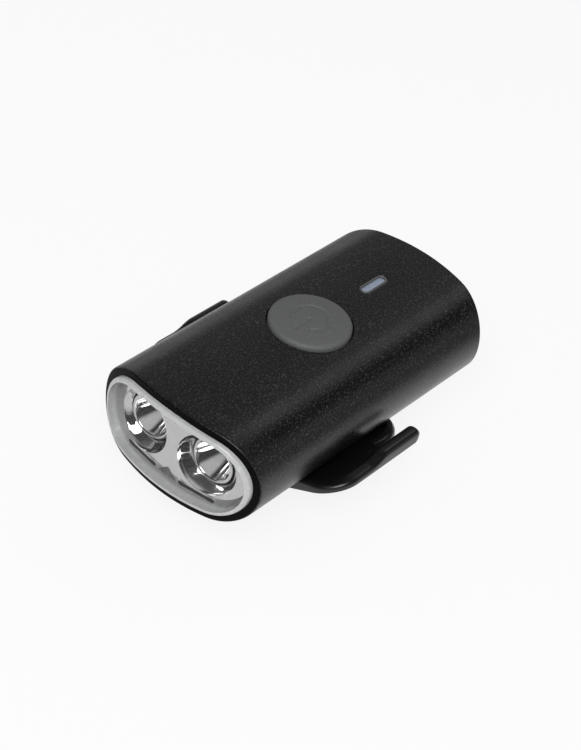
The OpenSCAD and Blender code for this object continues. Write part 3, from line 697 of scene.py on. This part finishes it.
# Bracket with wings, hooks and saddle
HOOK_X = 29.05
WING_FRONT = -19.7
WING_CORNER = 6.6
CORNER_Y = WING_FRONT + WING_CORNER
NOTCH_FROM = -0.6
NOTCH_L = 1.8
LOBE_X = 14.0
LOBE_Y = 4.0
LOBE_R = 9.8
HOOK_TIP = 8.5
HOOK_W = 3.1
TIP_L = 1.75
TIP_DRAW = 0.45
RIM_IN = 9.0
RIM_H = 3.3
RIM_DIP = 1.4
DIP_FROM = 17.0
DIP_L = 10.0
RAMP_RISE = 1.6
RAMP_FROM = -8.8
RAMP_L = 5.4
TOP_ROUND = 1.2
LOW_ROUND = 0.4
PLATE_BOT = -14.7
PLATE_T = 2.5
PLATE_TUCK = 1.2
PLATE_ROUND = 0.6
PLATE_FRONT = -18.6
PLATE_REAR = 13.1
WING_ROOT = 12.05
WING_SLOPE = 0.25
WING_EASE = 1.5
TUBE_GAP = 0.15
BAR_Z = -27.8
ARC_R = 14.05
FOOT_Z = -23.3
FOOT_Y = 15.81
ARC_FROM = 19.0
SADDLE_HALF = 10.0
SADDLE_TOP = PLATE_BOT + 1.8
FLANK = 1.9


def wing_under(x):
    """Underside of a wing: flat at the saddle, then rising one in two, eased at the bend."""
    u = x - WING_ROOT
    return PLATE_BOT + WING_SLOPE * (u + np.sqrt(u * u + WING_EASE))


def tube_under(x):
    """Lowest height that clears the tube above x, from the oval's lower half."""
    s = np.linspace(0, QUARTER, 200)
    ox, oz = oval(s, -TUBE_GAP)
    return -np.interp(np.abs(x), ox, oz, right=0.0)


def rounded_section(n):
    """Unit rounded rectangle as corner signs and corner directions, four arcs of n points."""
    a = np.concatenate([np.linspace(k, k + 90, n) for k in (0, 90, 180, 270)])
    a = np.radians(a)
    sx = np.repeat([1.0, -1.0, -1.0, 1.0], n)
    sz = np.repeat([1.0, 1.0, -1.0, -1.0], n)
    return sx, sz, np.cos(a), np.sin(a)


def hook_rim(side):
    """Rim of one wing and its hook: a section with a round top and tighter lower edges, carried
    along the wing's front edge, round its corner and back along the side to a round tip. The top
    dips at the corner and then rises in an S to the bar."""
    arc = np.radians(np.linspace(-90, 0, 20))
    cx = HOOK_X - WING_CORNER
    front_x = np.linspace(RIM_IN, cx, 10)[:-1]
    back = HOOK_TIP - TIP_L
    side_y = np.linspace(CORNER_Y, back, 30)[1:]
    tip = TIP_L * np.sin(np.radians(np.linspace(0, 90, 12)))[1:]
    front = np.ones(len(front_x))
    straight = np.ones(len(side_y) + len(tip))
    px = np.concatenate([front_x, cx + WING_CORNER * np.cos(arc), HOOK_X * straight])
    py = np.concatenate([WING_FRONT * front, CORNER_Y + WING_CORNER * np.sin(arc), side_y, back + tip])
    nx = np.concatenate([0 * front, -np.cos(arc), -straight])
    ny = np.concatenate([front, -np.sin(arc), 0 * straight])
    low = wing_under(px)
    rise = RAMP_RISE * smooth((py - RAMP_FROM) / RAMP_L)
    high = low + RIM_H - RIM_DIP * smooth((px - DIP_FROM) / DIP_L) + rise
    fade = np.ones(len(px))
    fade[-len(tip):] = np.sqrt(np.maximum(1 - (tip / TIP_L) ** 2, 0.0))
    mid, half = (low + high) / 2, (high - low) / 2 * fade
    wide = HOOK_W / 2 * (1 - TIP_DRAW + TIP_DRAW * fade)
    sx, sz, ca, sa = rounded_section(8)
    fits = 0.98 * np.minimum(half, wide)[:, None]
    rc = np.minimum(np.where(sz > 0, TOP_ROUND, LOW_ROUND)[None], fits)
    across = HOOK_W / 2 + sx * (wide[:, None] - rc) + rc * ca
    z = mid[:, None] + sz * (half[:, None] - rc) + rc * sa
    x = px[:, None] + nx[:, None] * across
    y = py[:, None] + ny[:, None] * across
    body = stack(side * x, y, z)
    ends = [np.repeat(body[i].mean(0)[None, None], body.shape[1], 1) for i in (0, -1)]
    body = np.concatenate([ends[0], body, ends[1]], 0)
    return np.swapaxes(body, 0, 1)


def wing_plate(side):
    """Plate of one wing between the saddle and the rim: an upper and a lower sheet that meet at
    the outline, which steps in at the notch and ends in a round corner behind it."""
    y = np.concatenate([np.linspace(WING_FRONT + PLATE_ROUND, CORNER_Y, 14),
                        np.linspace(-12.5, -1.2, 14), np.linspace(-0.8, 1.6, 12),
                        np.linspace(2.2, PLATE_REAR + PLATE_ROUND, 24)])
    ahead = np.minimum(y - CORNER_Y, 0)
    corner = HOOK_X - WING_CORNER + np.sqrt(np.maximum(WING_CORNER ** 2 - ahead ** 2, 0)) - PLATE_TUCK
    rear = LOBE_X + np.sqrt(np.maximum(LOBE_R ** 2 - (y - LOBE_Y) ** 2, 0))
    blend = smooth((y - NOTCH_FROM) / NOTCH_L)
    edge = corner * (1 - blend) + rear * blend
    t = np.concatenate([np.linspace(0, 0.9, 20), np.array([0.95, 0.98, 0.995, 1.0])])[None]
    x = edge[:, None] * t
    low = wing_under(x)
    thick = PLATE_T * np.sqrt(np.maximum(1 - np.maximum((t - 0.9) / 0.1, 0) ** 2, 0))
    front = np.sqrt(np.maximum(1 - np.clip((PLATE_FRONT - y) / PLATE_ROUND, 0, 1) ** 2, 0))[:, None]
    rear_end = np.sqrt(np.maximum(1 - np.clip((y - PLATE_REAR) / PLATE_ROUND, 0, 1) ** 2, 0))[:, None]
    thick = thick * front * rear_end
    high = np.minimum(low + thick, np.maximum(tube_under(x), low))
    upper = stack(side * x, y[:, None], high)
    lower = stack(side * x, y[:, None], low)
    return upper, lower


def saddle():
    """Saddle block: its outline from front foot over the top to the rear foot, its arch, and its
    sides, as sheets between the outline and the arch."""
    a = np.radians(np.linspace(ARC_FROM, 180.0 - ARC_FROM, 48))
    inner_y, inner_z = -ARC_R * np.cos(a), BAR_Z + ARC_R * np.sin(a)
    inner_z[0] = inner_z[-1] = FOOT_Z
    half = np.sqrt(ARC_R ** 2 - (FOOT_Z - BAR_Z) ** 2)
    inner_y[0], inner_y[-1] = -half, half
    t = np.linspace(-1, 1, 48)
    outer_y = np.clip(t * FLANK, -1, 1) * FOOT_Y
    outer_z = FOOT_Z + (SADDLE_TOP - FOOT_Z) * np.clip((1 - np.abs(t)) / (1 - 1 / FLANK), 0, 1)
    x = np.linspace(-SADDLE_HALF, SADDLE_HALF, 9)
    over = stack(x[None], outer_y[:, None], outer_z[:, None])
    under = stack(x[None], inner_y[:, None], inner_z[:, None])
    grids = [(over, False), (under, False)]
    for k in (0, -1):
        grids.append((np.stack([over[:, k], under[:, k]], 1), False))
    for k in (0, -1):
        grids.append((np.stack([over[k], under[k]], 1), False))
    return grids


def bracket():
    """Saddle, both wings and both hooks as one black moulding."""
    grids = saddle()
    for side in (-1, 1):
        upper, lower = wing_plate(side)
        grids += [(upper, False), (lower, False), (hook_rim(side), True)]
    return surface("bracket", grids, BRACKET_BLACK, sharp=40.0,
                   replaces=["mount_bracket"])


bracket()


# Rubber port cover
HINGE_Y = 42.3
HINGE_Z = -0.52
COVER_HALF = 7.9
COVER_TOP = 8.38
LID_EDGE = 0.6
PLUG_HALF = 6.25
PLUG_BACK = 38.85
PLUG_LOW = 0.15
PLUG_REACH = 7.55
PLUG_TOP = 7.0
PLUG_ROOT = 41.9
LID_INNER = HINGE_Y - 0.68
LID_OUTER = HINGE_Y + 0.5
LID_LOW = HINGE_Z - 0.66
LID_CORNER = 1.7
GRIP_Z = COVER_TOP - 1.5
GRIP_PITCH = 0.95
GRIP_L = 4.2
GRIP_T = 0.3


def slab(half_x, low, high, corner, rows):
    """A rounded rectangle in X and Z carried along Y: each row is (inset, y), and the first and
    last rows close on the middle."""
    sx, sz, ca, sa = rounded_section(9)
    mid, half_z = (low + high) / 2, (high - low) / 2
    out = []
    for inset, y in rows:
        r = max(corner - inset, 0.05)
        x = sx * max(half_x - inset - r, 0.0) + r * ca
        z = mid + sz * max(half_z - inset - r, 0.0) + r * sa
        out.append(stack(x, y, z))
    ends = [np.broadcast_to(p.mean(0), p.shape) for p in (out[0], out[-1])]
    return np.stack([ends[0], *out, ends[1]], 1)


def plug():
    """Plug behind the lid: a profile in Y and Z whose upper corner follows a circle round the hinge,
    carried along X and drawn in a little at both ends."""
    a = np.linspace(np.arcsin((PLUG_BACK - HINGE_Y) / PLUG_REACH), 0.0, 14)
    y = np.concatenate([[PLUG_ROOT, PLUG_ROOT, PLUG_BACK], HINGE_Y + PLUG_REACH * np.sin(a[:-1])])
    z = np.concatenate([[PLUG_TOP, PLUG_LOW, PLUG_LOW], HINGE_Z + PLUG_REACH * np.cos(a[:-1])])
    y = np.minimum(y, PLUG_ROOT)
    cy, cz = y.mean(), z.mean()
    x = np.array([-1, -1, -0.985, -0.95, 0.95, 0.985, 1, 1]) * PLUG_HALF
    size = np.array([0.0, 0.93, 0.98, 1.0, 1.0, 0.98, 0.93, 0.0])
    return stack(x[None], (cy + (y[:, None] - cy) * size), cz + (z[:, None] - cz) * size)


def port_cover():
    """Rubber lid with rounded edges, three grip ribs near its top, and the plug behind it."""
    a = np.radians(np.linspace(0, 90, 6))
    rows = [(LID_EDGE * (1 - np.sin(k)), LID_INNER + LID_EDGE * (1 - np.cos(k)) * 0.9) for k in a]
    rows += [(LID_EDGE * (1 - np.cos(k)), LID_OUTER - LID_EDGE * (1 - np.sin(k)) * 0.9) for k in a]
    grids = [(slab(COVER_HALF, LID_LOW, COVER_TOP, LID_CORNER, rows), True), (plug(), True)]
    bump = [(0.0, LID_OUTER - 0.1), (0.06, LID_OUTER + 0.06), (0.16, LID_OUTER + 0.15)]
    for k in range(3):
        z = GRIP_Z - GRIP_PITCH * k
        grids.append((slab(GRIP_L, z - GRIP_T, z + GRIP_T, 0.29, bump), True))
    return surface("port_lid", grids, COVER_RUBBER, sharp=40.0, body="cover",
                   replaces=["port_cover"])


port_cover()


# Camera at the photograph's viewing angle, from a fit to the outline
def camera():
    """Turned by azimuth, elevation and roll; the focal length is in pixels of a 581 by 750 frame."""
    az, el, roll = 0.5776028990, 0.6860613264, 0.2069423831
    shift_x, shift_y, dist, focal = 1.7883812, 1.8327383, 426.6552692, 1955.0775615
    back = np.array([np.sin(az) * np.cos(el), -np.cos(az) * np.cos(el), np.sin(el)])
    right = np.array([np.cos(az), np.sin(az), 0.0])
    up = np.cross(back, right)
    c, s = np.cos(roll), np.sin(roll)
    turn = np.stack([c * right + s * up, -s * right + c * up, back], 0)
    place = to_row(turn.T @ np.array([-shift_x, -shift_y, dist]))
    data = bpy.data.cameras.new("camera")
    data.sensor_fit = "VERTICAL"
    data.sensor_height = 36.0
    data.lens = 36.0 * focal / 750.0
    data.clip_start = 0.01
    data.clip_end = 20.0
    obj = bpy.data.objects.new("camera", data)
    matrix = np.eye(4)
    matrix[:3, :3] = turn.T
    matrix[:3, 3] = place
    obj.matrix_world = Matrix(matrix.tolist())
    bpy.context.scene.collection.objects.link(obj)
    bpy.context.scene.camera = obj


camera()


# Stage: pale floor, white surroundings and soft lamps; metres and watts
FLOOR_HALF = 3.0
FLOOR_Z = -0.0002
FLOOR_GLOW = 0.86
# Painted pool of light: floor glow seen by gloss and clear pieces, full near the object and dimmed
# farther out.
POOL_NEAR = 0.06
POOL_FAR = 0.2
POOL_DIM = 0.25
BACKDROP_WAY = (-0.82, 0.57, 0.02)
BACKDROP_STEPS = ((0.05, 0.8, 0.15), (0.84, 1.0, 0.62))
STUDIO_DARK = 0.05
ROOM_LIGHT = 0.3
LAMP_TARGET = (0, 0, 0.02)


def seen_directly(add, join):
    """1 for rays that show the background: from the camera, off gloss, or through clear pieces."""
    path = add("ShaderNodeLightPath")
    first = add("ShaderNodeMath", operation="MAXIMUM")
    both = add("ShaderNodeMath", operation="MAXIMUM")
    join(path.outputs["Is Camera Ray"], first.inputs[0])
    join(path.outputs["Is Glossy Ray"], first.inputs[1])
    join(first.outputs[0], both.inputs[0])
    join(path.outputs["Is Transmission Ray"], both.inputs[1])
    return both.outputs[0]


def floor():
    """A wide pale sheet under the light, which glows enough to show white and keeps the shadow. To gloss
    and clear pieces its glow is full near the object and dims farther out: a painted pool of light.
    """
    mat = bpy.data.materials.new("floor_paper")
    mat.use_nodes = True
    tree = mat.node_tree
    add, join = node_tools(tree)
    bsdf = preset(tree.nodes["Principled BSDF"], Base_Color=(*grey(0.86), 1), Roughness=0.9)
    glow = add("ShaderNodeEmission")
    coord = add("ShaderNodeTexCoord")
    away = add("ShaderNodeVectorMath", operation="LENGTH")
    # Painted pool of light round the object, for rays other than the camera's.
    painted_light_pool = add("ShaderNodeMapRange", interpolation_type="SMOOTHSTEP")
    preset(painted_light_pool, From_Min=POOL_NEAR, From_Max=POOL_FAR, To_Min=1.0, To_Max=POOL_DIM)
    path = add("ShaderNodeLightPath")
    shown = add("ShaderNodeMath", operation="MAXIMUM")
    join(coord.outputs["Object"], away.inputs[0])
    join(away.outputs["Value"], painted_light_pool.inputs["Value"])
    join(painted_light_pool.outputs["Result"], shown.inputs[0])
    join(path.outputs["Is Camera Ray"], shown.inputs[1])
    join(shown.outputs[0], glow.inputs["Strength"])
    mix = add("ShaderNodeMixShader")
    scale = add("ShaderNodeMath", operation="MULTIPLY")
    scale.inputs[1].default_value = FLOOR_GLOW
    join(seen_directly(add, join), scale.inputs[0])
    join(scale.outputs[0], mix.inputs[0])
    join(bsdf.outputs[0], mix.inputs[1])
    join(glow.outputs[0], mix.inputs[2])
    join(mix.outputs[0], tree.nodes["Material Output"].inputs["Surface"])
    mesh = bpy.data.meshes.new("floor")
    w, z = FLOOR_HALF, FLOOR_Z
    mesh.from_pydata([(-w, -w, z), (w, -w, z), (w, w, z), (-w, w, z)], [], [(0, 1, 2, 3)])
    mesh.materials.append(mat)
    obj = bpy.data.objects.new("floor", mesh)
    bpy.context.scene.collection.objects.link(obj)


def world():
    """White where the background shows. Gloss and clear pieces see a bright backdrop at the left
    rear that falls off into a dark studio; the rest is an even, dimmer light."""
    w = bpy.data.worlds.new("studio")
    bpy.context.scene.world = w
    w.use_nodes = True
    tree = w.node_tree
    add, join = node_tools(tree)
    sky = tree.nodes["Background"]
    coord = add("ShaderNodeTexCoord")
    towards = add("ShaderNodeVectorMath", operation="DOT_PRODUCT")
    towards.inputs[1].default_value = BACKDROP_WAY
    join(coord.outputs["Generated"], towards.inputs[0])
    studio = None
    for low, high, lift in BACKDROP_STEPS:
        step = add("ShaderNodeMapRange", interpolation_type="SMOOTHSTEP")
        preset(step, From_Min=low, From_Max=high, To_Max=lift)
        join(towards.outputs["Value"], step.inputs["Value"])
        total = add("ShaderNodeMath", operation="ADD")
        total.inputs[1].default_value = STUDIO_DARK
        join(step.outputs["Result"], total.inputs[0])
        if studio:
            join(studio, total.inputs[1])
        studio = total.outputs[0]
    path = add("ShaderNodeLightPath")
    shine = add("ShaderNodeMath", operation="MAXIMUM")
    join(path.outputs["Is Glossy Ray"], shine.inputs[0])
    join(path.outputs["Is Transmission Ray"], shine.inputs[1])
    lit = preset(add("ShaderNodeMix", data_type="FLOAT"), A=ROOM_LIGHT)
    join(shine.outputs[0], lit.inputs["Factor"])
    join(studio, lit.inputs["B"])
    shown = preset(add("ShaderNodeMix", data_type="FLOAT"), B=1.0)
    join(path.outputs["Is Camera Ray"], shown.inputs["Factor"])
    join(lit.outputs["Result"], shown.inputs["A"])
    join(shown.outputs["Result"], sky.inputs["Strength"])
    sky.inputs["Color"].default_value = (1, 1, 1, 1)


def soft_lamp(name, place, size, power):
    """A rectangular soft lamp at place, turned to the object."""
    data = bpy.data.lights.new(name, "AREA")
    data.shape = "RECTANGLE"
    data.size, data.size_y = size
    data.energy = power
    obj = bpy.data.objects.new(name, data)
    z = np.array(place) - np.array(LAMP_TARGET)
    z /= np.linalg.norm(z)
    x = np.cross([0.0, 0.0, 1.0], z)
    x /= np.linalg.norm(x)
    matrix = np.eye(4)
    matrix[:3, 0] = x
    matrix[:3, 1] = np.cross(z, x)
    matrix[:3, 2] = z
    matrix[:3, 3] = place
    obj.matrix_world = Matrix(matrix.tolist())
    bpy.context.scene.collection.objects.link(obj)


floor()
world()
soft_lamp("key", (0.38, -0.66, 0.8), (0.6, 0.5), 10.0)
soft_lamp("rear_top", (0.03, 0.65, 0.78), (0.45, 0.4), 0.55)
soft_lamp("rear_right", (0.72, 0.6, 0.28), (0.4, 0.4), 0.25)
bpy.context.scene.view_settings.view_transform = "Standard"
